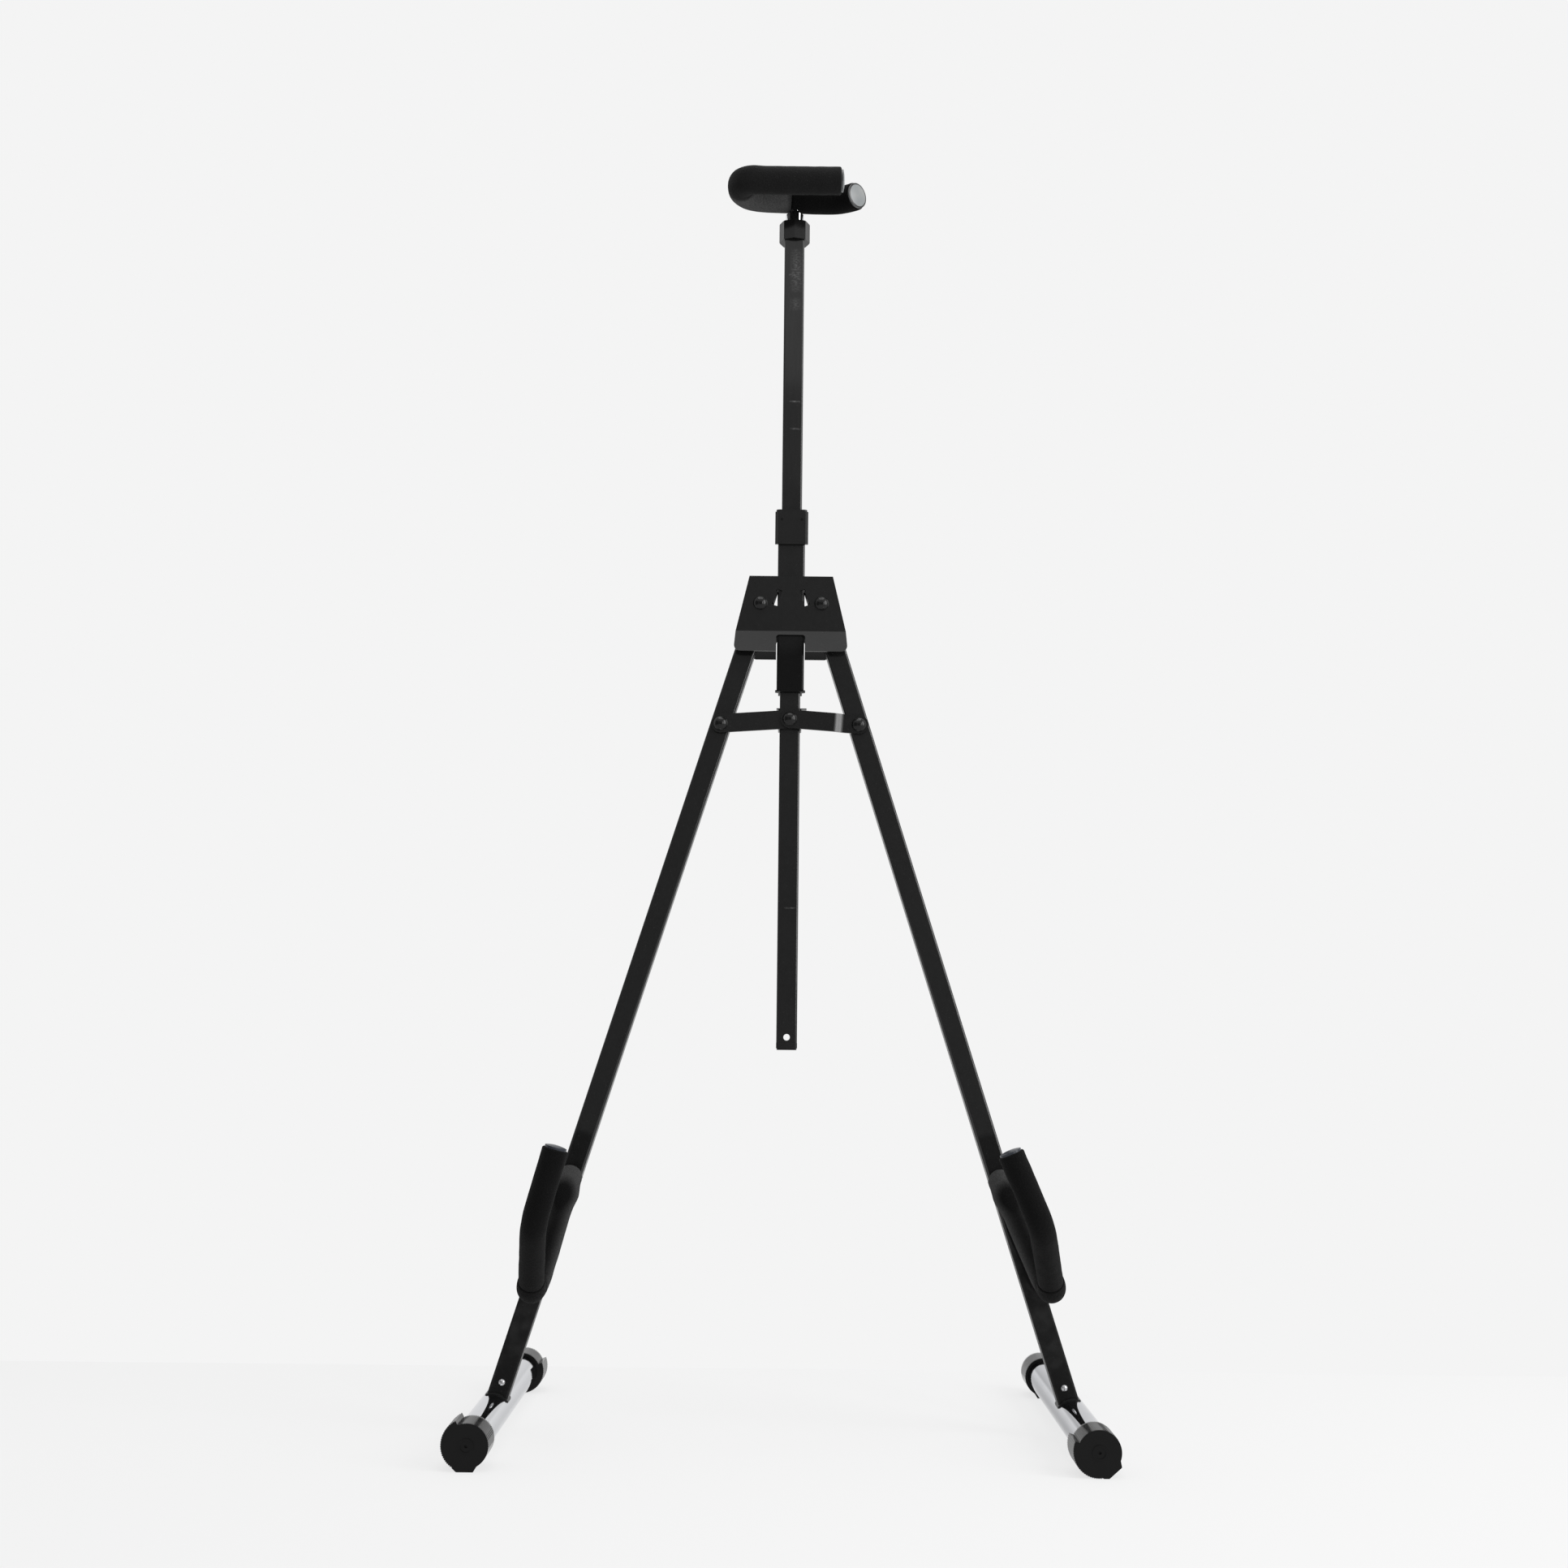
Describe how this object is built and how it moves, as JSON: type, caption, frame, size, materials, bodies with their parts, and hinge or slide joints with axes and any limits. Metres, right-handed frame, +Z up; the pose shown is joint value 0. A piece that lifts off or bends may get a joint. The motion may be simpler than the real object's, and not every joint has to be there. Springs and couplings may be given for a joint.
{
  "type": "cello_stand",
  "caption": "Folding black metal cello stand with a telescopic mast, a padded neck yoke, two padded swing arms and chrome feet with levelling caps.",
  "frame": {"origin": "Bottom centre of the bounding box, on the floor between the feet", "axes": "+Z up along the mast, -Y towards the padded arms and the viewer, +X to the viewer's right"},
  "size_m": [0.5596, 0.371, 1.1705],
  "materials": {
    "black_enamel": "semi-gloss black enamel on square steel tube and sheet",
    "black_steel": "gloss black coated steel rivets, rods and nuts",
    "black_plastic": "satin black moulded plastic",
    "ribbed_plastic": "black moulded plastic, finely ribbed round its rim",
    "chrome": "bright chrome plated steel tube",
    "zinc_steel": "bright zinc plated steel",
    "nylon": "natural nylon",
    "foam": "closed-cell black foam sleeve, softly nubbed",
    "satin_grey": "satin light grey end cap",
    "blue_grey": "dark blue-grey end cap"
  },
  "bodies": {
    "frame": {"front_plate": "black_enamel", "rear_plate": "black_enamel", "outer_tube": "black_enamel", "lower_bush": "black_plastic", "height_collar": "black_plastic", "left_leg_rivet": "black_steel", "right_leg_rivet": "black_steel", "pivot_washers": "nylon"},
    "knob": {"height_knob": "black_plastic", "knob_screw": "zinc_steel"},
    "mast": {"inner_tube": "black_enamel", "end_plug": "black_plastic", "yoke_socket": "black_plastic"},
    "nut": {"lock_nut": "black_plastic"},
    "yoke": {"yoke_stem": "black_steel", "yoke_rod": "black_steel", "yoke_front_foam": "foam", "yoke_rear_foam": "foam", "yoke_front_cap": "satin_grey", "yoke_rear_cap": "satin_grey"},
    "clip": {"spreader_clip": "black_steel"},
    "left_leg_body": {"left_leg": "black_enamel", "left_foot_tube": "chrome", "left_foot_saddle": "black_plastic", "left_foot_screw": "zinc_steel", "left_link_rivet": "black_steel", "left_link_washer": "nylon"},
    "left_link_body": {"left_link": "black_enamel"},
    "left_arm": {"left_arm_rod": "black_steel", "left_arm_foam": "foam", "left_arm_cap": "blue_grey", "left_arm_nut": "black_steel", "left_arm_washer": "black_steel"},
    "left_front_foot": {"left_front_cap": "ribbed_plastic"},
    "left_rear_foot": {"left_rear_cap": "ribbed_plastic"},
    "right_leg_body": {"right_leg": "black_enamel", "right_foot_tube": "chrome", "right_foot_saddle": "black_plastic", "right_foot_screw": "zinc_steel", "right_link_rivet": "black_steel", "right_link_washer": "nylon"},
    "right_link_body": {"right_link": "black_enamel", "centre_rivet": "black_steel"},
    "right_arm": {"right_arm_rod": "black_steel", "right_arm_foam": "foam", "right_arm_cap": "blue_grey", "right_arm_nut": "black_steel", "right_arm_washer": "black_steel"},
    "right_front_foot": {"right_front_cap": "ribbed_plastic"},
    "right_rear_foot": {"right_rear_cap": "ribbed_plastic"}
  },
  "joints": [
    {"name": "left_leg_fold", "type": "hinge", "parent": "frame", "child": "left_leg_body", "pos_m": [-0.02865, -0.0325, 0.75539], "axis": [0, -1, 0], "range_deg": [0, 17.37]},
    {"name": "right_leg_fold", "type": "hinge", "parent": "frame", "child": "right_leg_body", "pos_m": [0.02865, -0.0325, 0.75539], "axis": [0, 1, 0], "range_deg": [0, 17.37]},
    {"name": "left_link_swing", "type": "hinge", "parent": "left_leg_body", "child": "left_link_body", "pos_m": [-0.06431, -0.0435, 0.64139], "axis": [0, 1, 0], "range_deg": [0, 85]},
    {"name": "right_link_swing", "type": "hinge", "parent": "right_leg_body", "child": "right_link_body", "pos_m": [0.06431, -0.0435, 0.64139], "axis": [0, -1, 0], "range_deg": [0, 85]},
    {"name": "clip_slide", "type": "slide", "parent": "frame", "child": "clip", "axis": [0, 0, -1], "range_m": [0, 0.0678]},
    {"name": "mast_height", "type": "slide", "parent": "frame", "child": "mast", "axis": [0, 0, 1], "range_m": [-0.265, 0.21]},
    {"name": "knob_turn", "type": "hinge", "parent": "frame", "child": "knob", "pos_m": [0, -0.0105, 0.82879], "axis": [0, 1, 0], "continuous": true},
    {"name": "nut_turn", "type": "hinge", "parent": "mast", "child": "nut", "pos_m": [0, -0.0325, 1.12289], "axis": [0, 0, 1], "continuous": true},
    {"name": "yoke_swivel", "type": "hinge", "parent": "mast", "child": "yoke", "pos_m": [0, -0.0325, 1.13179], "axis": [0, 0, 1], "continuous": true},
    {"name": "left_arm_swing", "type": "hinge", "parent": "left_leg_body", "child": "left_arm", "pos_m": [-0.19434, -0.0325, 0.2257], "axis": [0, 1, 0], "range_deg": [-5, 45]},
    {"name": "left_front_cap_turn", "type": "hinge", "parent": "left_leg_body", "child": "left_front_foot", "pos_m": [-0.25853, -0.1685, 0.0205], "axis": [0, 1, 0], "continuous": true},
    {"name": "left_rear_cap_turn", "type": "hinge", "parent": "left_leg_body", "child": "left_rear_foot", "pos_m": [-0.25853, 0.1685, 0.0205], "axis": [0, 1, 0], "continuous": true},
    {"name": "right_arm_swing", "type": "hinge", "parent": "right_leg_body", "child": "right_arm", "pos_m": [0.19434, -0.0325, 0.2257], "axis": [0, -1, 0], "range_deg": [-5, 45]},
    {"name": "right_front_cap_turn", "type": "hinge", "parent": "right_leg_body", "child": "right_front_foot", "pos_m": [0.25853, -0.1685, 0.0205], "axis": [0, 1, 0], "continuous": true},
    {"name": "right_rear_cap_turn", "type": "hinge", "parent": "right_leg_body", "child": "right_rear_foot", "pos_m": [0.25853, 0.1685, 0.0205], "axis": [0, 1, 0], "continuous": true}
  ],
  "couplings": [
    {"joint": "right_leg_fold", "follows": "left_leg_fold", "ratio": 1},
    {"joint": "left_link_swing", "follows": "left_leg_fold", "ratio": 4.8927},
    {"joint": "right_link_swing", "follows": "left_leg_fold", "ratio": 4.8927},
    {"joint": "clip_slide", "follows": "left_leg_fold", "m_per_rad": 0.22331}
  ]
}
